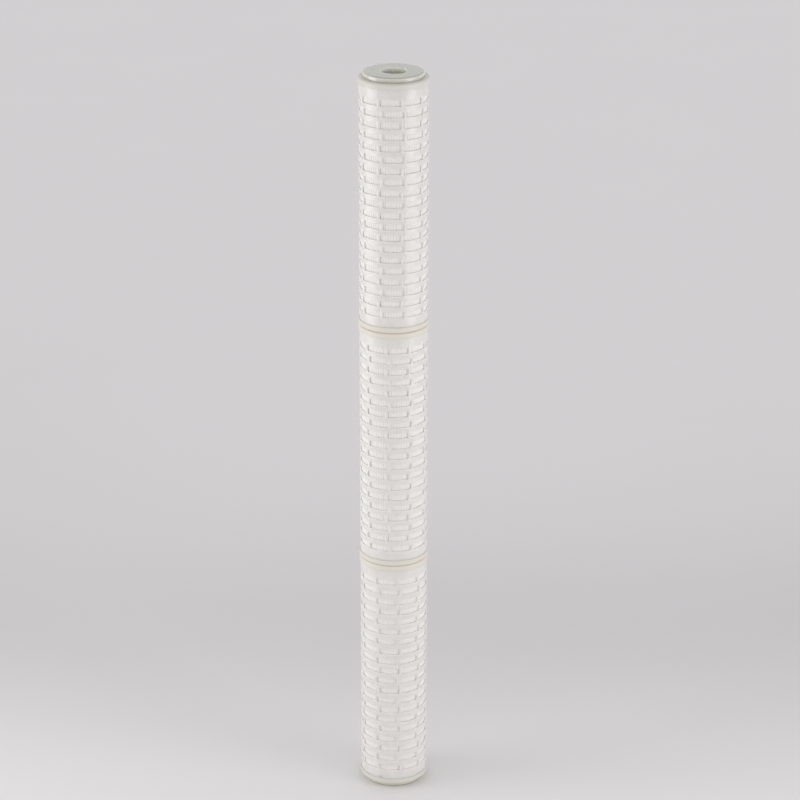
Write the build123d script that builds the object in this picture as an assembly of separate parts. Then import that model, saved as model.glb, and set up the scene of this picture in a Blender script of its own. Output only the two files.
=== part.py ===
"""Three-section pleated filter cartridge, double open end, standing upright.

Millimetres, +Z up. The origin is the centre of the lower gasket's sealing face, on the axis.
Each 254 mm section is two end caps, a perforated core, a pleated media pack and a slotted cage.
The sections are butt welded cap to cap, and a flat gasket sits on the outer cap at each end.
"""
from build123d import *
from math import cos, radians, sin, sqrt
import os

# Driving dimensions
SECTIONS = 3
SECTION_LENGTH = 254.0

GASKET_RADIUS = 30.5
GASKET_THICKNESS = 5.0
GASKET_EDGE = 1.0

BORE_RADIUS = 12.7
CAP_RADIUS = 35.5
CAP_FLANGE = 6.0
CAP_EDGE = 1.0
TROUGH_DEPTH = 2.5
FIT_CLEARANCE = 0.1

CAGE_RADIUS = 34.55
CAGE_WALL = 1.6
CAGE_COLUMNS = 9
POST_ANGLE = 5.5
FLATS_PER_SLOT = 2
SLOT_HEIGHT = 6.0
ROW_PITCH = 11.36
ROWS = 20
ROWS_PER_CUT = 2

CORE_INSIDE = 14.0
CORE_WALL = 2.4
CORE_COLUMNS = 4
CORE_ROWS = 3
CORE_RIB_ANGLE = 50.0
CORE_RING = 14.0
CUT_MARGIN = 1.0

PLEATS = 78
MEDIA_THICKNESS = 0.6
PACK_CLEARANCE = 0.25

# Each section from the bottom up, with the direction that one post of its lowest slots faces.
# The photographed front faces -90 degrees, and the sections were welded without lining them up.
POST_DIRECTIONS = {"lower": -78.0, "middle": -97.0, "upper": -70.5}

# Derived dimensions
TROUGH_FLOOR = CAP_FLANGE - TROUGH_DEPTH
TROUGH_RADIUS = CAGE_RADIUS + FIT_CLEARANCE
INSIDE_LENGTH = SECTION_LENGTH - 2 * TROUGH_FLOOR
TOTAL_HEIGHT = SECTIONS * SECTION_LENGTH + 2 * GASKET_THICKNESS
COLUMN_ANGLE = 360.0 / CAGE_COLUMNS
SLOT_ANGLE = COLUMN_ANGLE - POST_ANGLE
FLAT_ANGLE = SLOT_ANGLE / FLATS_PER_SLOT
CAGE_INSIDE = CAGE_RADIUS - CAGE_WALL
CORE_RADIUS = CORE_INSIDE + CORE_WALL
PACK_RADIUS = CAGE_INSIDE * cos(radians(FLAT_ANGLE / 2)) - PACK_CLEARANCE
PACK_INSIDE = CORE_RADIUS + PACK_CLEARANCE


def polar(radius, angle):
    """A point in the plane, from its radius and its angle in degrees."""
    return (radius * cos(radians(angle)), radius * sin(radians(angle)))


def turned(points):
    """A solid of revolution about Z from the closed outline (radius, height)."""
    with BuildPart() as part:
        with BuildSketch(Plane.XZ):
            with BuildLine():
                Polyline(*points, close=True)
            make_face()
        revolve(axis=Axis.Z)
    return part.part


def gasket():
    """Flat ring, sealing face down at z = 0, with its outer edge broken on that face."""
    outline = [
        (BORE_RADIUS, 0),
        (GASKET_RADIUS - GASKET_EDGE, 0),
        (GASKET_RADIUS, GASKET_EDGE),
        (GASKET_RADIUS, GASKET_THICKNESS),
        (BORE_RADIUS, GASKET_THICKNESS),
    ]
    return turned(outline)


def cap():
    """End cap, outer face down at z = 0, with a bevel there that leaves a groove at a weld.

    The ends of cage, media and core are sunk in its trough, inside the rim.
    """
    outline = [
        (BORE_RADIUS, 0),
        (CAP_RADIUS - CAP_EDGE, 0),
        (CAP_RADIUS, CAP_EDGE),
        (CAP_RADIUS, CAP_FLANGE),
        (TROUGH_RADIUS, CAP_FLANGE),
        (TROUGH_RADIUS, TROUGH_FLOOR),
        (BORE_RADIUS, TROUGH_FLOOR),
    ]
    return turned(outline)


def slots(inner, outer, columns, rib_angle, heights, slot_height):
    """The pieces to cut from a tube for rows of slots with ribs between them, one row a height."""
    span = 360.0 / columns - rib_angle
    reach = outer / cos(radians(span / 2))
    cuts = []
    for height in heights:
        for column in range(columns):
            start = column * 360.0 / columns + rib_angle / 2
            sector = Polyline(
                polar(inner, start),
                polar(reach, start),
                polar(reach, start + span),
                polar(inner, start + span),
                close=True,
            )
            cuts.append(Pos(0, 0, height) * extrude(make_face(sector), slot_height))
    return cuts


def cage():
    """Slotted guard, standing on z = 0. One of its posts faces +X.

    Its wall is drawn with two flats for each slot, within 0.4 mm of true round, and with every
    second row of its slots, so that hundreds of slots stay light.
    """
    corners = []
    for column in range(CAGE_COLUMNS):
        slot_start = column * COLUMN_ANGLE + POST_ANGLE / 2
        for corner in range(FLATS_PER_SLOT + 1):
            corners.append(slot_start + corner * FLAT_ANGLE)
    outside = Polyline(*[polar(CAGE_RADIUS, angle) for angle in corners], close=True)
    inside = Polyline(*[polar(CAGE_INSIDE, angle) for angle in corners], close=True)
    wall = make_face(outside) - make_face(inside)
    first = (INSIDE_LENGTH - (ROWS - 1) * ROW_PITCH - SLOT_HEIGHT) / 2
    heights = [first + row * ROW_PITCH for row in range(0, ROWS, ROWS_PER_CUT)]
    cuts = slots(CORE_RADIUS, CAGE_RADIUS, CAGE_COLUMNS, POST_ANGLE, heights, SLOT_HEIGHT)
    return extrude(wall, INSIDE_LENGTH) - cuts


def core():
    """Perforated support tube inside the media, with tall windows between its ribs."""
    tube = extrude(Circle(CORE_RADIUS) - Circle(CORE_INSIDE), INSIDE_LENGTH)
    pitch = (INSIDE_LENGTH - CORE_RING) / CORE_ROWS
    heights = [CORE_RING + row * pitch for row in range(CORE_ROWS)]
    window = pitch - CORE_RING
    inner = CORE_INSIDE - CUT_MARGIN
    outer = CORE_RADIUS + CUT_MARGIN
    cuts = slots(inner, outer, CORE_COLUMNS, CORE_RIB_ANGLE, heights, window)
    return tube - cuts


def media_pack():
    """Pleated media: a sheet of even thickness folded to and fro between core and cage."""
    half_pitch = radians(180.0 / PLEATS)
    across = (PACK_RADIUS + PACK_INSIDE) / 2 * half_pitch
    depth = PACK_RADIUS - PACK_INSIDE
    leg_offset = MEDIA_THICKNESS * sqrt(depth**2 + across**2) / across
    outside = []
    inside = []
    for fold in range(PLEATS):
        tip = fold * 360.0 / PLEATS
        root = tip + 180.0 / PLEATS
        outside.append(polar(PACK_RADIUS, tip))
        outside.append(polar(PACK_INSIDE + leg_offset, root))
        inside.append(polar(PACK_RADIUS - leg_offset, tip))
        inside.append(polar(PACK_INSIDE, root))
    sheet = make_face(Polyline(*outside, close=True)) - make_face(Polyline(*inside, close=True))
    return extrude(sheet, INSIDE_LENGTH)


def upside_down(part, height):
    """The same part turned over, with its outer face at the given height."""
    return Pos(0, 0, height) * Rot(180, 0, 0) * part


def main():
    os.makedirs("parts", exist_ok=True)
    gasket_part = gasket()
    cap_part = cap()
    cage_part = cage()
    core_part = core()
    pack_part = media_pack()

    parts = {}
    parts["lower_gasket"] = gasket_part
    parts["upper_gasket"] = upside_down(gasket_part, TOTAL_HEIGHT)
    for index, (place, direction) in enumerate(POST_DIRECTIONS.items()):
        base = GASKET_THICKNESS + index * SECTION_LENGTH
        inside = Pos(0, 0, base + TROUGH_FLOOR)
        parts[place + "_section_bottom_cap"] = Pos(0, 0, base) * cap_part
        parts[place + "_section_top_cap"] = upside_down(cap_part, base + SECTION_LENGTH)
        parts[place + "_cage"] = inside * Rot(0, 0, direction) * cage_part
        parts[place + "_core"] = inside * core_part
        parts[place + "_pleated_pack"] = inside * pack_part

    for name, part in parts.items():
        export_step(part, f"parts/{name}.step")


main()
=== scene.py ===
"""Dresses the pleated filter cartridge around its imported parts.

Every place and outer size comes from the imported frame, in metres, with the axis of the cartridge on Z.
The slotted guards and cores, the welded caps, the flat seals and the folded media are numpy surfaces.
"""

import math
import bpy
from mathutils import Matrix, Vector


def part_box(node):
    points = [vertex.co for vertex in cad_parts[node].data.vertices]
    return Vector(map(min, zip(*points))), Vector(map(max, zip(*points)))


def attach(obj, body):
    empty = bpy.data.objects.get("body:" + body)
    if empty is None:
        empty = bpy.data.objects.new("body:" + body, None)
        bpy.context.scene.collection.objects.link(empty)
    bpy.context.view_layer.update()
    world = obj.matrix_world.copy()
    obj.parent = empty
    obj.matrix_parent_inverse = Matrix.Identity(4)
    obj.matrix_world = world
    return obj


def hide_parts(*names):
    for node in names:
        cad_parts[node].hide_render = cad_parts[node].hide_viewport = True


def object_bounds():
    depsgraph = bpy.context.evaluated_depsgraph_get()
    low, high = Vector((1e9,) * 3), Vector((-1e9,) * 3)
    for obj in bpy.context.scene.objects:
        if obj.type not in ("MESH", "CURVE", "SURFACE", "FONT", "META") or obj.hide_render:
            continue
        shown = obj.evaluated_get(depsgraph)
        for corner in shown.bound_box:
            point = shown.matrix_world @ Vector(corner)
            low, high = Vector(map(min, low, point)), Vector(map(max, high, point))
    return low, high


bl_info = {
    "name": "Pleated Filter Cartridge",
    "version": (1, 0, 0),
    "blender": (4, 5, 0),
    "location": "3D View > Sidebar > Cartridge",
    "description": "Builds the finished pieces of a pleated filter cartridge around its packed parts",
    "category": "Object",
}

import bpy
import numpy as np
from mathutils import Matrix, Vector

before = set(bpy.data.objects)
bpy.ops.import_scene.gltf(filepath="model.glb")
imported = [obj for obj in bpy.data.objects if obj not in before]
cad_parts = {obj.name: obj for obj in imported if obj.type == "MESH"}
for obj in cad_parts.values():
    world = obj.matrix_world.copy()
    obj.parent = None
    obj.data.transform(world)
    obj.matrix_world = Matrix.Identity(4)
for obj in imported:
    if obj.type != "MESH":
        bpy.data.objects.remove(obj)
CAD_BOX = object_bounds()

SECTIONS = ("lower", "middle", "upper")
BODY = "root"


def linear(red, green, blue):
    """Linear light colour for an sRGB colour given from 0 to 255."""
    shares = np.array([red, green, blue]) / 255
    low = shares / 12.92
    high = ((shares + 0.055) / 1.055) ** 2.4
    return tuple(float(c) for c in np.where(shares <= 0.04045, low, high))


def radii(node):
    """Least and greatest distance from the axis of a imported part's corners."""
    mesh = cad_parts[node].data
    places = np.empty(len(mesh.vertices) * 3)
    mesh.vertices.foreach_get("co", places)
    reach = np.hypot(places[0::3], places[1::3])
    return float(reach.min()), float(reach.max())


def count_property(name, description, default):
    """A whole number of equal features."""
    return bpy.props.IntProperty(name=name, description=description, default=default, min=2)


def length_property(name, description, default):
    """A size that the sidebar shows in the scene's own length unit."""
    settings = {"min": 0.0, "precision": 5, "subtype": "DISTANCE", "unit": "LENGTH"}
    return bpy.props.FloatProperty(name=name, description=description, default=default, **settings)


def angle_property(name, description, degrees):
    """An angle that the sidebar shows in degrees."""
    settings = {"default": math.radians(degrees), "subtype": "ANGLE", "unit": "ROTATION"}
    return bpy.props.FloatProperty(name=name, description=description, **settings)


def share_property(name, description, default):
    """A plain share or strength."""
    settings = {"min": 0.0, "max": 2.0, "subtype": "FACTOR"}
    return bpy.props.FloatProperty(name=name, description=description, default=default, **settings)


def power_property(name, description, default):
    """A lamp's power."""
    settings = {"min": 0.0, "subtype": "POWER", "unit": "POWER"}
    return bpy.props.FloatProperty(name=name, description=description, default=default, **settings)


def colour_property(name, description, red, green, blue):
    """A colour with an sRGB default given from 0 to 255."""
    settings = {"default": linear(red, green, blue), "size": 3, "min": 0.0, "max": 1.0, "subtype": "COLOR"}
    return bpy.props.FloatVectorProperty(name=name, description=description, **settings)


class CartridgeSizes(bpy.types.PropertyGroup):
    """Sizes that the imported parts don't give by their outer faces."""

    columns: count_property("Slots round", "Slots in one row of a guard", 9)
    rows: count_property("Slot rows", "Rows of slots in one guard", 20)
    row_pitch: length_property("Row pitch", "Height from one row of slots to the next", 0.01136)
    slot_height: length_property("Slot height", "Height of one slot in a guard", 0.006)
    post_angle: angle_property("Post width", "Angle of a post between two slots, and each row's shift", 5.5)
    lower_turn: angle_property("Lower guard's turn", "Direction of one post of the lowest slots", -78.0)
    middle_turn: angle_property("Middle guard's turn", "Direction of one post of the lowest slots", -97.0)
    upper_turn: angle_property("Upper guard's turn", "Direction of one post of the lowest slots", -70.5)
    post_crown: length_property("Post crown", "How far a post's sides fall back from its middle", 0.0011)
    guard_edge: length_property("Guard edge radius", "Radius on the moulded edges of a guard", 0.0004)

    core_columns: count_property("Windows round", "Windows round a core", 4)
    core_rows: count_property("Window rows", "Rows of windows in a core", 3)
    core_rib_angle: angle_property("Core rib width", "Angle that a rib between two windows takes", 50.0)
    core_ring: length_property("Core ring height", "Height of a core's ring between two rows", 0.014)
    core_edge: length_property("Core edge radius", "Radius on the moulded edges of a core", 0.0004)

    cap_flange: length_property("Cap flange", "Height of a cap's outer rim", 0.006)
    cap_floor: length_property("Cap floor", "Thickness of a cap under its trough", 0.0035)
    cap_round: length_property("Cap round", "Radius on a cap's outer edge, half of the weld groove", 0.002)
    trough_clearance: length_property("Trough clearance", "Gap round a guard in its cap's trough", 0.00003)
    cap_corner: length_property("Cap corner radius", "Radius on the moulded corners of a cap", 0.00018)
    weld_ripple: length_property("Weld ripple", "Unevenness of a cap's edge along a weld", 0.00012)

    seal_round: length_property("Seal round", "Radius on a seal's outer edge", 0.0016)
    seal_corner: length_property("Seal corner radius", "Radius on the corners of a seal", 0.0005)

    folds: count_property("Folds", "Folds in one pack of media", 78)
    media_thickness: length_property("Media thickness", "Thickness of the folded sheet", 0.0005)
    media_clearance: length_property("Media clearance", "Gap between the folds and their guard", 0.00006)
    tip_round: length_property("Tip round", "Outer radius on each side of a fold's tip", 0.0004)
    tip_gap: length_property("Tip gap", "Gap between the round tips of two folds", 0.00006)
    root_gap: length_property("Root gap", "Gap between two layers of the sheet at the core", 0.0002)
    fold_wander: length_property("Fold wander", "How far a fold's tip wanders sideways", 0.0002)


class CartridgeColours(bpy.types.PropertyGroup):
    """Colours of the mouldings, the seals and the media."""

    guard: colour_property("Guard", "White moulded plastic of the guards", 232, 229, 224)
    core: colour_property("Core", "White moulded plastic of the cores", 240, 237, 230)
    cap: colour_property("Cap", "Pale moulded plastic of the caps", 219, 216, 209)
    cream: colour_property("Cream", "Plastic of a cap towards a weld", 224, 220, 209)
    weld: colour_property("Weld", "Plastic that was yellowed at a weld", 218, 209, 194)
    media: colour_property("Media", "Folded filter sheet", 242, 241, 238)
    seal: colour_property("Seal", "Translucent rubber on the flat of a seal", 173, 173, 160)
    # Painted highlight: the upper seal's side gets a lighter rubber colour that stands in for the reflections
    # of the lamps on it.
    painted_seal_side_highlight: colour_property("Seal side", "Rubber round the upper seal's side", 212, 211, 198)
    # Olive rubber, also lightened as painted light to offset the shade it sits in under the cap.
    olive_seal_foot_and_painted_light: colour_property("Seal foot", "Olive rubber round the lower seal's side", 226, 223, 192)
    # Painted light: the bore's rubber is lightened to stand in for light coming through the seal.
    painted_bore_light: colour_property("Seal bore", "Brighter rubber in the bore, lit through it", 246, 245, 230)
    stain: colour_property("Stain", "Small grey mark at the foot of the lowest guard", 150, 146, 140)


class StageSettings(bpy.types.PropertyGroup):
    """Floor, lights and camera of the picture."""

    floor: colour_property("Floor", "Pale floor", 247, 244, 246)
    floor_size: length_property("Floor size", "Side of the floor", 24.0)
    fill: share_property("Fill", "Strength of the even light", 1.03)
    zenith: share_property("Zenith", "Share of the even light overhead", 0.5)
    left_power: power_property("Left light", "Power of the strip light on the left", 2.0)
    right_power: power_property("Right light", "Power of the strip light on the right", 1.48)


class Value:
    """A number socket on which + - * / and abs add the Math node that they stand for."""

    def __init__(self, finish, socket):
        self.finish = finish
        self.socket = socket

    def maths(self, operation, *terms):
        return self.finish.node("ShaderNodeMath", {"operation": operation}, dict(enumerate(terms)))

    def __add__(self, other):
        return self.maths("ADD", self, other)

    __radd__ = __add__

    def __sub__(self, other):
        return self.maths("SUBTRACT", self, other)

    def __rsub__(self, other):
        return self.maths("SUBTRACT", other, self)

    def __mul__(self, other):
        return self.maths("MULTIPLY", self, other)

    __rmul__ = __mul__

    def __truediv__(self, other):
        return self.maths("DIVIDE", self, other)

    def __rtruediv__(self, other):
        return self.maths("DIVIDE", other, self)

    def __abs__(self):
        return self.maths("ABSOLUTE", self)

    def at_least(self, other):
        return self.maths("MAXIMUM", self, other)

    def at_most(self, other):
        return self.maths("MINIMUM", self, other)


class Finish:
    """A new material or world under construction, and the one method that adds a node to it."""

    def __init__(self, owner):
        owner.use_nodes = True
        self.owner = owner
        self.tree = owner.node_tree
        self.tree.nodes.clear()

    def node(self, kind, settings=None, inputs=None, output=0):
        """Adds a node, makes its settings, fills its inputs with values or links and gives one output."""
        made = self.tree.nodes.new(kind)
        for name, setting in (settings or {}).items():
            setattr(made, name, setting)
        for name, content in (inputs or {}).items():
            socket = made.inputs[name] if isinstance(name, int) else self.socket(made, name)
            if isinstance(content, Value):
                self.tree.links.new(content.socket, socket)
            else:
                socket.default_value = (*content, 1.0) if socket.type == "RGBA" else content
        return Value(self, made.outputs[output]) if made.outputs else None

    @staticmethod
    def socket(made, identifier):
        return next(s for s in made.inputs if s.identifier == identifier)

    def place(self):
        """Object coordinates, which are metres in the frame of the whole cartridge."""
        return self.node("ShaderNodeTexCoord", output="Object")

    def noise(self, scale, detail=2.0, roughness=0.5, stretch=(1.0, 1.0, 1.0)):
        """Noise from 0 to 1 with scale lumps to the metre, drawn out where a part of stretch is under 1."""
        vector = self.node("ShaderNodeVectorMath", {"operation": "MULTIPLY"}, {0: self.place(), 1: stretch})
        inputs = {"Vector": vector, "Scale": scale, "Detail": detail, "Roughness": roughness}
        return self.node("ShaderNodeTexNoise", inputs=inputs)

    def mixed(self, factor, first, second):
        """Colour between first and second."""
        inputs = {"Factor_Float": factor, "A_Color": first, "B_Color": second}
        return self.node("ShaderNodeMix", {"data_type": "RGBA"}, inputs, output=2)

    def bump(self, height, distance, strength=1.0):
        """Normal of a surface raised by height times distance."""
        inputs = {"Height": height, "Distance": distance, "Strength": strength}
        return self.node("ShaderNodeBump", inputs=inputs)

    def surface(self, **inputs):
        """Ends the material in a Principled shader with these inputs, spaces written as underscores."""
        named = {name.replace("_", " "): content for name, content in inputs.items()}
        shader = self.node("ShaderNodeBsdfPrincipled", inputs=named)
        self.node("ShaderNodeOutputMaterial", inputs={"Surface": shader})
        return self.owner


def shaded(colour, share):
    """A colour with its light scaled by a share."""
    return tuple(c * share for c in colour)


def spot(finish, centre, radius, edge):
    """Soft mask that is 1 inside a ball and 0 past its edge, with an edge as wide as edge."""
    inputs = {0: finish.place(), 1: centre}
    reach = finish.node("ShaderNodeVectorMath", {"operation": "DISTANCE"}, inputs, output="Value")
    return ((radius + edge - reach) / edge).at_least(0.0).at_most(1.0)


def moulded_finish(name, colour, roughness, stain):
    """Satin polypropylene: faint flow clouds along the moulding, a fine grain and a soft glow inside.

    One small grey mark sits at the foot of the lowest guard, as in the photograph.
    """
    finish = Finish(bpy.data.materials.new(name))
    clouds = finish.noise(28.0, 3.0, 0.55, (1.0, 1.0, 0.35))
    grain = finish.noise(2600.0, 2.0)
    waves = finish.noise(90.0, 2.0, 0.5, (1.0, 1.0, 0.5))
    body = finish.mixed(clouds, shaded(colour, 0.955), shaded(colour, 1.03))
    mark = spot(finish, (-0.0138, -0.0317, 0.0119), 0.0008, 0.0024) * (0.15 + 0.3 * grain)
    return finish.surface(
        Base_Color=finish.mixed(mark, body, stain),
        Roughness=roughness + 0.12 * (clouds - 0.5) + 0.06 * (grain - 0.5),
        Normal=finish.bump(grain + waves * 4.0, 0.00003, 0.6),
        Specular_IOR_Level=0.8,
        Subsurface_Weight=0.85,
        Subsurface_Radius=(0.003, 0.0028, 0.0026),
        Subsurface_Scale=1.0,
        IOR=1.49,
    )


def cap_finish(colours):
    """Pale polypropylene that turns cream towards a weld, with an uneven yellowed line along it."""
    finish = Finish(bpy.data.materials.new("cap_polypropylene"))
    clouds = finish.noise(35.0, 3.0)
    grain = finish.noise(2400.0, 2.0)
    heat = finish.noise(160.0, 2.0, 0.6, (1.0, 1.0, 0.2))
    height = finish.node("ShaderNodeSeparateXYZ", inputs={0: finish.place()}, output="Z")
    welds = [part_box(f"{section}_section_bottom_cap")[0].z for section in SECTIONS[1:]]
    distance = abs(height - welds[0]).at_most(abs(height - welds[1]))
    warmth = (1.4 - distance / 0.006).at_least(0.0).at_most(1.0)
    scorch = (1.0 - distance / 0.0014).at_least(0.0) * (heat * 0.7 + 0.3)
    pale = finish.mixed(clouds, shaded(colours.cap, 0.965), shaded(colours.cap, 1.02))
    body = finish.mixed(warmth, pale, colours.cream)
    return finish.surface(
        Base_Color=finish.mixed(scorch, body, colours.weld),
        Roughness=0.4 + 0.12 * (clouds - 0.5) + 0.1 * scorch,
        Normal=finish.bump(grain + heat * 3.0, 0.00003, 0.6),
        IOR=1.49,
    )


def seal_finish(node, colours, side):
    """Translucent greyish rubber with a gloss, slight clouds and moulding dimples.

    A thin ring inside its outer edge is darkened as painted shade. Its side takes a lighter colour as painted
    light, a painted highlight on the upper seal and olive rubber lightened against its shade on the lower
    one, and its bore is lightened as painted light.
    """
    finish = Finish(bpy.data.materials.new(f"{node}_rubber"))
    clouds = finish.noise(60.0, 2.0)
    dimples = finish.noise(420.0, 2.0)
    body = finish.mixed(clouds, shaded(colours.seal, 0.93), shaded(colours.seal, 1.03))
    flat = {0: finish.place(), 1: (1.0, 1.0, 0.0)}
    across = finish.node("ShaderNodeVectorMath", {"operation": "MULTIPLY"}, flat)
    reach = finish.node("ShaderNodeVectorMath", {"operation": "LENGTH"}, {0: across}, output="Value")
    bore, outer = radii(node)
    # Painted shade: a thin ring just inside the outer edge is darkened to stand in for the dark rim of the
    # clear rubber.
    edge_shade_mask = (1.0 - abs(reach - outer + 0.0013) / 0.0009).at_least(0.0) * 0.8
    # Painted light: the side gets the lighter side colour and the bore a lighter colour, standing in for
    # reflections and for light through the rubber.
    side_light_mask = (1.0 - (outer - 0.0002 - reach) / 0.0004).at_least(0.0).at_most(1.0)
    bore_light_mask = (1.0 - (reach - bore - 0.0003) / 0.0004).at_least(0.0).at_most(1.0)
    painted_edge_shade = finish.mixed(edge_shade_mask, body, shaded(colours.seal, 0.6))
    painted_side_light = finish.mixed(side_light_mask, painted_edge_shade, side)
    return finish.surface(
        Base_Color=finish.mixed(bore_light_mask, painted_side_light, colours.painted_bore_light),
        Roughness=0.24 + 0.1 * (dimples - 0.5),
        Normal=finish.bump(dimples, 0.00006, 0.5),
        Specular_IOR_Level=1.0,
        Coat_Weight=0.7,
        Coat_Roughness=0.2,
        Subsurface_Weight=1.0,
        Subsurface_Radius=(0.008, 0.0085, 0.006),
        Subsurface_Scale=1.0,
        IOR=1.41,
    )


def media_finish(colours):
    """White sheet of laid fibres: a matt felt of crossing strands."""
    finish = Finish(bpy.data.materials.new("media_fibres"))
    upright = finish.noise(1500.0, 3.0, 0.6, (1.0, 1.0, 0.12))
    lying = finish.noise(1500.0, 3.0, 0.6, (0.15, 0.15, 1.0))
    fibres = (upright + lying) * 0.5
    return finish.surface(
        Base_Color=finish.mixed(fibres, shaded(colours.media, 0.96), colours.media),
        Roughness=0.82 + 0.2 * (fibres - 0.5),
        Normal=finish.bump(fibres, 0.00012, 0.8),
    )


def floor_finish(stage):
    """Smooth pale paper with the faintest clouds, and painted shade in a wide darker band behind the object,
    where a wall would meet the floor.
    """
    finish = Finish(bpy.data.materials.new("floor_pale"))
    clouds = finish.noise(3.0, 2.0)
    depth = finish.node("ShaderNodeSeparateXYZ", inputs={0: finish.place()}, output="Y")
    # Painted shade: a wide darker band across the floor behind the object, standing in for the shade where a
    # wall meets the floor.
    offset = (depth - 0.34) / 0.35
    painted_cove_shade = 1.0 / (1.0 + offset * offset)
    return finish.surface(
        Base_Color=finish.mixed(0.92 * painted_cove_shade + 0.08 * clouds, stage.floor, shaded(stage.floor, 0.77)),
        Roughness=0.55 + 0.05 * (clouds - 0.5),
        Specular_IOR_Level=0.25,
    )


def studio_world(stage):
    """Even white light from all round that weakens towards the zenith."""
    finish = Finish(bpy.data.worlds.new("studio light"))
    direction = finish.node("ShaderNodeTexCoord", output="Generated")
    height = finish.node("ShaderNodeSeparateXYZ", inputs={0: direction}, output="Z").at_least(0.0)
    colour = finish.mixed(height, (1.0, 1.0, 1.0), (stage.zenith, stage.zenith, stage.zenith))
    light = finish.node("ShaderNodeBackground", inputs={"Color": colour, "Strength": stage.fill})
    finish.node("ShaderNodeOutputWorld", inputs={"Surface": light})
    return finish.owner


def closed_surface(name, grid):
    """Mesh of a grid of points (rows, columns, 3) that closes on itself both ways.

    Faces point outwards where columns run anticlockwise about Z and rows climb on the outer side.
    """
    rows, columns = grid.shape[:2]
    index = np.arange(rows * columns).reshape(rows, columns)
    above = np.roll(index, -1, axis=0)
    quads = np.stack([index, np.roll(index, -1, axis=1), np.roll(above, -1, axis=1), above], axis=-1)
    return mesh_object(name, grid.reshape(-1, 3), quads.reshape(-1, 4))


def mesh_object(name, points, quads):
    """Smooth mesh object at the origin from arrays of points and four-cornered faces."""
    mesh = bpy.data.meshes.new(name)
    mesh.from_pydata(points.tolist(), [], quads.tolist())
    mesh.polygons.foreach_set("use_smooth", np.ones(len(quads), bool))
    mesh.update()
    made = bpy.data.objects.new(name, mesh)
    bpy.context.scene.collection.objects.link(made)
    return made


def even_normals(piece):
    """Lets the large faces of a piece set its shading, so that flats look flat beside their round edges."""
    modifier = piece.modifiers.new("even normals", "WEIGHTED_NORMAL")
    modifier.weight = 50
    return piece


def dress(piece, node, material):
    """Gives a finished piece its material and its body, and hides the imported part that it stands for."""
    piece.data.materials.append(material)
    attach(piece, BODY)
    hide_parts(node)
    return piece


def rounded(corners, radius, steps):
    """Closed outline with a round arc in place of each corner.

    An arc's centre lies one radius beside the path, and its points are that centre plus the radius
    turned from the old heading to the new one. It takes at most 0.45 of the shorter side.
    """
    corners = np.asarray(corners, float)
    ahead = np.roll(corners, -1, axis=0) - corners
    behind = np.roll(ahead, 1, axis=0)
    heading = np.arctan2(behind[:, 1], behind[:, 0])
    across = behind[:, 0] * ahead[:, 1] - behind[:, 1] * ahead[:, 0]
    along = np.sum(behind * ahead, axis=1)
    turn = np.arctan2(across, along)
    half = np.tan(np.abs(turn) / 2)
    shorter = np.minimum(np.linalg.norm(ahead, axis=1), np.linalg.norm(behind, axis=1))
    reach = np.minimum(radius * half, 0.45 * shorter)
    arc = (reach / half)[:, None]
    side = np.sign(turn)[:, None]
    forward = np.stack([np.cos(heading), np.sin(heading)], axis=1)
    leftward = np.stack([-np.sin(heading), np.cos(heading)], axis=1)
    centre = corners - reach[:, None] * forward + side * arc * leftward
    angle = heading[:, None] - side * np.pi / 2 + turn[:, None] * np.linspace(0, 1, steps + 1)
    points = centre[:, None, :] + arc[:, :, None] * np.stack([np.cos(angle), np.sin(angle)], axis=-1)
    return points.reshape(-1, 2)


def soft_edged(corners, radius, edge_radius):
    """Closed outline whose second corner, the outer edge, has a larger arc than the others."""
    steps = 4
    at_edge = np.repeat(np.arange(len(corners)) == 1, steps + 1)[:, None]
    return np.where(at_edge, rounded(corners, edge_radius, steps), rounded(corners, radius, steps))


def anticlockwise(outline):
    """The outline in the order that keeps its inside on the left."""
    ahead = np.roll(outline, -1, axis=0)
    area = np.sum(outline[:, 0] * ahead[:, 1] - outline[:, 1] * ahead[:, 0])
    return outline if area > 0 else outline[::-1]


def turned_ring(name, outline, sides, ripple=None):
    """Ring turned about Z from a closed outline of (radius, height): (r cos a, r sin a, h) for each angle a.

    ripple(radius, height, angle), where given, is added to the radius.
    """
    angle = np.linspace(0, 2 * np.pi, sides, endpoint=False)
    outline = anticlockwise(outline)
    radius = np.repeat(outline[:, :1], sides, axis=1)
    height = np.repeat(outline[:, 1:], sides, axis=1)
    if ripple is not None:
        radius = radius + ripple(radius, height, angle[None, :])
    grid = np.stack([radius * np.cos(angle), radius * np.sin(angle), height], axis=-1)
    return even_normals(closed_surface(name, grid))


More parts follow.
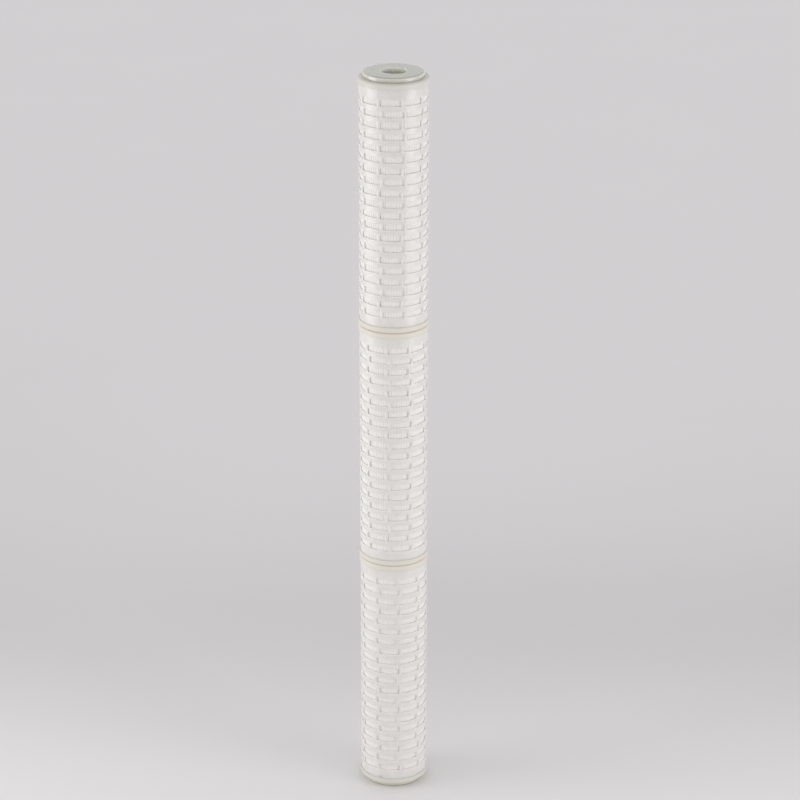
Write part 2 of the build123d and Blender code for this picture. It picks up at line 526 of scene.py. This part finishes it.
def slotted_tube(name, inner, outer, levels, lines, solid):
    """Tube with openings: a grid of cells between levels (Z) and lines (angles about Z).

    solid says which cells have wall. Each such cell gets an outer and an inner face, at
    (r cos a, r sin a, z), and a wall between the two where its neighbour is open. The outer
    radius is one number or one for each crossing of a level and a line.
    """
    shape = (len(levels), len(lines))
    radius = np.stack([np.broadcast_to(outer, shape), np.broadcast_to(inner, shape)])
    height = np.broadcast_to(levels[:, None], (2, *shape))
    grid = np.stack([radius * np.cos(lines), radius * np.sin(lines), height], axis=-1)
    index = np.arange(grid[..., 0].size).reshape(height.shape)
    beside = np.roll(index, -1, axis=2)

    def corners(cells, *places):
        return np.stack([place[cells] for place in places], axis=-1)

    out, out_beside = index[0, :-1], beside[0, :-1]
    out_above, out_corner = index[0, 1:], beside[0, 1:]
    inn, inn_beside = index[1, :-1], beside[1, :-1]
    inn_above, inn_corner = index[1, 1:], beside[1, 1:]
    padded = np.pad(solid, ((1, 1), (0, 0)))
    top = solid & ~padded[2:]
    foot = solid & ~padded[:-2]
    right = solid & ~np.roll(solid, -1, axis=1)
    left = solid & ~np.roll(solid, 1, axis=1)
    quads = np.concatenate([
        corners(solid, out, out_beside, out_corner, out_above),
        corners(solid, inn, inn_above, inn_corner, inn_beside),
        corners(top, out_above, out_corner, inn_corner, inn_above),
        corners(foot, out, inn, inn_beside, out_beside),
        corners(right, out_beside, inn_beside, inn_corner, out_corner),
        corners(left, out, out_above, inn_above, inn),
    ])
    return mesh_object(name, grid.reshape(-1, 3), quads)


def round_edges(piece, radius):
    """Rounds the moulded edges of a piece and evens its shading."""
    modifier = piece.modifiers.new("moulded edges", "BEVEL")
    modifier.width = radius
    modifier.segments = 2
    modifier.limit_method = "ANGLE"
    modifier.angle_limit = math.radians(40)
    modifier.use_clamp_overlap = True
    return even_normals(piece)


def guard_piece(section, sizes):
    """A guard's wall, with a post at every pitch and each second row turned by one post.

    Between the rims of its slots a post is a round bar: its face falls away from its middle by
    the square of the distance, to post_crown at its sides.
    """
    node = f"{section}_cage"
    low, high = (corner.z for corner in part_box(node))
    inner, outer = radii(node)
    pitch = 2 * math.pi / sizes.columns
    post = sizes.post_angle
    across = np.linspace(-1, 1, 5)[:-1]
    shared = np.linspace(post / 2, pitch - 1.5 * post, 7)[:-1]
    column = np.concatenate([(across / 2 - 1) * post, across / 2 * post, shared])
    turn = getattr(sizes, f"{section}_turn")
    lines = turn + np.arange(sizes.columns)[:, None] * pitch + column
    first = (low + high - (sizes.rows - 1) * sizes.row_pitch - sizes.slot_height) / 2
    floors = first + np.arange(sizes.rows)[:, None] * sizes.row_pitch
    rims = floors + np.array([0, 0.25, 0.75, 1]) * sizes.slot_height
    levels = np.concatenate([[low], rims.ravel(), [high]])
    solid = np.ones((len(levels) - 1, sizes.columns, len(column)), bool)
    crown = np.zeros((len(levels), sizes.columns, len(column)))
    for row, post_cells in ((0, slice(4, 8)), (1, slice(0, 4))):
        for level in (1, 2, 3):
            solid[4 * row + level::8] = False
            solid[4 * row + level::8, :, post_cells] = True
        edge_lines = slice(post_cells.start, post_cells.stop + 1)
        crown[4 * row + 2:-1:8, :, edge_lines] = np.append(across, 1) ** 2
        crown[4 * row + 3:-1:8, :, edge_lines] = np.append(across, 1) ** 2
    face = (outer - sizes.post_crown * crown).reshape(len(levels), -1)
    shape = (len(solid), -1)
    return slotted_tube(f"{section}_guard_moulding", inner, face, levels, lines.ravel(), solid.reshape(shape))


def core_piece(section, sizes):
    """A core's wall, with tall windows between its ribs and rings."""
    node = f"{section}_core"
    low, high = (corner.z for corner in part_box(node))
    inner, outer = radii(node)
    pitch = 2 * math.pi / sizes.core_columns
    rib = np.linspace(-0.5, 0.5, 9)[:-1] * sizes.core_rib_angle
    window = np.linspace(sizes.core_rib_angle / 2, pitch - sizes.core_rib_angle / 2, 9)[:-1]
    column = np.concatenate([rib, window])
    lines = (np.arange(sizes.core_columns)[:, None] * pitch + column).ravel()
    row_pitch = (high - low - sizes.core_ring) / sizes.core_rows
    rings = low + np.arange(sizes.core_rows + 1) * row_pitch
    levels = np.stack([rings, rings + sizes.core_ring], axis=1).ravel()
    solid = np.ones((len(levels) - 1, sizes.core_columns, len(column)), bool)
    solid[1::2, :, len(rib):] = False
    solid = solid.reshape(len(solid), -1)
    return slotted_tube(f"{section}_core_moulding", inner, outer, levels, lines, solid)


def cap_piece(node, sizes):
    """A cap turned from its section, with an outer edge that runs a little unevenly at a weld."""
    low, high = (corner.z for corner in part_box(node))
    bore, outer = radii(node)
    trough = radii(node.split("_")[0] + "_cage")[1] + sizes.trough_clearance
    corners = [
        (bore, 0),
        (outer, 0),
        (outer, sizes.cap_flange),
        (trough, sizes.cap_flange),
        (trough, sizes.cap_floor),
        (bore, sizes.cap_floor),
    ]
    outline = soft_edged(corners, sizes.cap_corner, sizes.cap_round)
    face, way = (low, 1) if "bottom" in node else (high, -1)
    outline[:, 1] = face + way * outline[:, 1]

    def ripple(radius, height, angle):
        nearness = np.clip(1 - np.abs(height - face) / sizes.cap_round, 0, 1)
        at_edge = radius > outer - sizes.cap_round
        wave = np.sin(7 * angle + 40 * face) + np.sin(17 * angle + 90 * face) + np.sin(31 * angle)
        return -sizes.weld_ripple * nearness * at_edge * (0.5 + wave / 6)

    return turned_ring(f"{node}_moulding", outline, 180, ripple)


def seal_piece(node, sizes):
    """A flat seal turned from its section, bevelled on its sealing face."""
    low, high = (corner.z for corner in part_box(node))
    bore, outer = radii(node)
    thickness = high - low
    corners = [
        (bore, 0),
        (outer, 0),
        (outer, thickness),
        (bore, thickness),
    ]
    outline = soft_edged(corners, sizes.seal_corner, sizes.seal_round)
    face, way = (low, 1) if node.startswith("lower") else (high, -1)
    outline[:, 1] = face + way * outline[:, 1]
    return turned_ring(f"{node}_silicone", outline, 180)


def media_piece(section, sizes):
    """A sheet folded to and fro between core and guard, with round tips that all but touch each other.

    Its outer and inner outlines are square waves about a circle with rounded corners, one sheet's
    thickness apart. They climb as stacked levels, each turned by a smooth function of angle and height.
    """
    node = f"{section}_pleated_pack"
    low, high = (corner.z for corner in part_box(node))
    inner = radii(node)[0]
    outer = radii(f"{section}_cage")[0] - sizes.media_clearance
    half_sheet = sizes.media_thickness / 2
    pitch = 2 * math.pi / sizes.folds
    tip = pitch * outer / 2 - sizes.tip_gap / 2 - half_sheet
    root = sizes.root_gap / 2 + half_sheet
    root_turn = pitch * (inner + half_sheet) / 2 - root

    def wave(side):
        """Outline on one side of the sheet: two corners at each tip and two at each root."""
        reach = np.array([outer, outer, inner, inner]) + half_sheet * (side - np.array([1, 1, -1, -1]))
        aside = np.array([-tip - side * half_sheet, tip + side * half_sheet, 0, 0])
        valley = (root_turn - side * half_sheet) / inner
        turn = np.array([aside[0] / outer, aside[1] / outer, pitch / 2 - valley, pitch / 2 + valley])
        angle = (np.arange(sizes.folds)[:, None] * pitch + turn).ravel()
        reach = np.tile(reach, sizes.folds)
        corners = np.stack([reach * np.cos(angle), reach * np.sin(angle)], axis=1)
        return rounded(corners, sizes.tip_round + (side - 1) * half_sheet / 2, 3)

    levels = np.linspace(low, high, 21)
    plan = np.concatenate([np.repeat(wave(way)[None], len(levels), 0) for way in (1, -1)])
    height = np.concatenate([levels, levels[::-1]])[:, None]
    reach = np.hypot(plan[..., 0], plan[..., 1])
    bearing = np.arctan2(plan[..., 1], plan[..., 0])
    rise = (height - low) / (high - low)
    phase = SECTIONS.index(section)
    sway = np.sin(9 * bearing + 11 * rise + phase) + np.sin(23 * bearing - 17 * rise + 2 * phase)
    hold = np.sin(np.pi * rise) ** 0.5
    bearing = bearing + sizes.fold_wander / outer * sway / 2 * hold
    grid = np.stack([reach * np.cos(bearing), reach * np.sin(bearing), height + 0 * reach], axis=-1)
    return even_normals(closed_surface(f"{section}_media_sheet", grid))


class CARTRIDGE_OT_guards(bpy.types.Operator):
    """Make the slotted guards"""

    bl_idname = "cartridge.guards"
    bl_label = "Slotted Guards"

    def execute(self, context):
        sizes = context.scene.cartridge_sizes
        colours = context.scene.cartridge_colours
        material = moulded_finish("guard_polypropylene", colours.guard, 0.28, colours.stain)
        for section in SECTIONS:
            piece = round_edges(guard_piece(section, sizes), sizes.guard_edge)
            dress(piece, f"{section}_cage", material)
        return {"FINISHED"}


class CARTRIDGE_OT_cores(bpy.types.Operator):
    """Make the perforated cores inside the media"""

    bl_idname = "cartridge.cores"
    bl_label = "Perforated Cores"

    def execute(self, context):
        sizes = context.scene.cartridge_sizes
        colours = context.scene.cartridge_colours
        material = moulded_finish("core_polypropylene", colours.core, 0.46, colours.stain)
        for section in SECTIONS:
            piece = round_edges(core_piece(section, sizes), sizes.core_edge)
            dress(piece, f"{section}_core", material)
        return {"FINISHED"}


class CARTRIDGE_OT_caps(bpy.types.Operator):
    """Make the six caps, welded in pairs between the sections"""

    bl_idname = "cartridge.caps"
    bl_label = "Welded Caps"

    def execute(self, context):
        sizes = context.scene.cartridge_sizes
        material = cap_finish(context.scene.cartridge_colours)
        for section in SECTIONS:
            for end in ("bottom", "top"):
                node = f"{section}_section_{end}_cap"
                dress(cap_piece(node, sizes), node, material)
        return {"FINISHED"}


class CARTRIDGE_OT_seals(bpy.types.Operator):
    """Make the flat seals at both ends"""

    bl_idname = "cartridge.seals"
    bl_label = "Flat Seals"

    def execute(self, context):
        sizes = context.scene.cartridge_sizes
        colours = context.scene.cartridge_colours
        # The side colours are partly painted light: a painted highlight on the upper seal, olive rubber
        # lightened against its shade on the lower one.
        for node, side in (("lower_gasket", colours.olive_seal_foot_and_painted_light), ("upper_gasket", colours.painted_seal_side_highlight)):
            dress(seal_piece(node, sizes), node, seal_finish(node, colours, side))
        return {"FINISHED"}


class CARTRIDGE_OT_media(bpy.types.Operator):
    """Make the folded media of the three sections"""

    bl_idname = "cartridge.media"
    bl_label = "Folded Media"

    def execute(self, context):
        sizes = context.scene.cartridge_sizes
        material = media_finish(context.scene.cartridge_colours)
        for section in SECTIONS:
            dress(media_piece(section, sizes), f"{section}_pleated_pack", material)
        return {"FINISHED"}


def soft_light(name, power, size, place, target):
    """A large flat light at place that faces target and isn't seen itself."""
    data = bpy.data.lights.new(name, "AREA")
    data.shape = "RECTANGLE"
    data.size, data.size_y = size
    data.energy = power
    data.spread = math.radians(130)
    light = bpy.data.objects.new(name, data)
    light.location = place
    light.rotation_euler = (Vector(target) - Vector(place)).to_track_quat("-Z", "Y").to_euler()
    light.visible_camera = False
    bpy.context.scene.collection.objects.link(light)


def around(azimuth, distance, height):
    """A place at a bearing from the camera's side, positive to the right."""
    return (distance * math.sin(azimuth), -distance * math.cos(azimuth), height)


class CARTRIDGE_OT_stage(bpy.types.Operator):
    """Make the floor, the soft lights and the camera"""

    bl_idname = "cartridge.stage"
    bl_label = "Floor, Lights and Camera"

    def execute(self, context):
        stage = context.scene.cartridge_stage
        self.add_floor(stage)
        self.add_lights(context.scene, stage)
        self.add_camera(context.scene)
        return {"FINISHED"}

    def add_floor(self, stage):
        half = stage.floor_size / 2
        low = CAD_BOX[0].z
        points = np.array([(-half, -half, low), (half, -half, low), (half, half, low), (-half, half, low)])
        floor = mesh_object("floor", points, np.array([[0, 1, 2, 3]]))
        floor.data.materials.append(floor_finish(stage))

    def add_lights(self, scene, stage):
        middle = (0, 0, 0.45)
        left = around(math.radians(-82), 1.0, 0.5)
        right = around(math.radians(62), 1.0, 0.5)
        soft_light("left light", stage.left_power, (0.6, 0.8), left, middle)
        soft_light("right light", stage.right_power, (0.5, 0.8), right, middle)
        scene.world = studio_world(stage)
        scene.view_settings.view_transform = "Standard"

    def add_camera(self, scene):
        """Camera of the photograph: 21.4 degrees down, 2.57 m in front, with the axis left of the middle."""
        image_width = 800
        focal_pixels = 2713
        axis_column = 393.72
        data = bpy.data.cameras.new("camera")
        data.lens = data.sensor_width * focal_pixels / image_width
        camera = bpy.data.objects.new("camera", data)
        camera.location = (0, -2.566, 1.434)
        tilt = Matrix.Rotation(math.radians(90 - 21.39), 3, "X")
        swing = Matrix.Rotation(-math.atan((image_width / 2 - axis_column) / focal_pixels), 3, "Y")
        camera.rotation_euler = (tilt @ swing).to_euler()
        scene.collection.objects.link(camera)
        scene.camera = camera


class CARTRIDGE_PT_sidebar(bpy.types.Panel):
    """Sizes, colours and steps of the cartridge"""

    bl_idname = "CARTRIDGE_PT_sidebar"
    bl_label = "Pleated Filter Cartridge"
    bl_space_type = "VIEW_3D"
    bl_region_type = "UI"
    bl_category = "Cartridge"

    def draw(self, context):
        layout = self.layout
        scene = context.scene
        for group in (scene.cartridge_sizes, scene.cartridge_colours, scene.cartridge_stage):
            box = layout.box()
            for name in group.__annotations__:
                box.prop(group, name)
        for step in STEPS:
            layout.operator(step.bl_idname)


GROUPS = (CartridgeSizes, CartridgeColours, StageSettings)
STEPS = (
    CARTRIDGE_OT_stage,
    CARTRIDGE_OT_guards,
    CARTRIDGE_OT_cores,
    CARTRIDGE_OT_caps,
    CARTRIDGE_OT_seals,
    CARTRIDGE_OT_media,
)
CLASSES = GROUPS + STEPS + (CARTRIDGE_PT_sidebar,)


def register():
    for shown in CLASSES:
        bpy.utils.register_class(shown)
    bpy.types.Scene.cartridge_sizes = bpy.props.PointerProperty(type=CartridgeSizes)
    bpy.types.Scene.cartridge_colours = bpy.props.PointerProperty(type=CartridgeColours)
    bpy.types.Scene.cartridge_stage = bpy.props.PointerProperty(type=StageSettings)


def unregister():
    del bpy.types.Scene.cartridge_stage
    del bpy.types.Scene.cartridge_colours
    del bpy.types.Scene.cartridge_sizes
    for shown in reversed(CLASSES):
        bpy.utils.unregister_class(shown)


def main():
    register()
    bpy.ops.cartridge.stage()
    bpy.ops.cartridge.guards()
    bpy.ops.cartridge.cores()
    bpy.ops.cartridge.caps()
    bpy.ops.cartridge.seals()
    bpy.ops.cartridge.media()


if __name__ == "__main__":
    main()
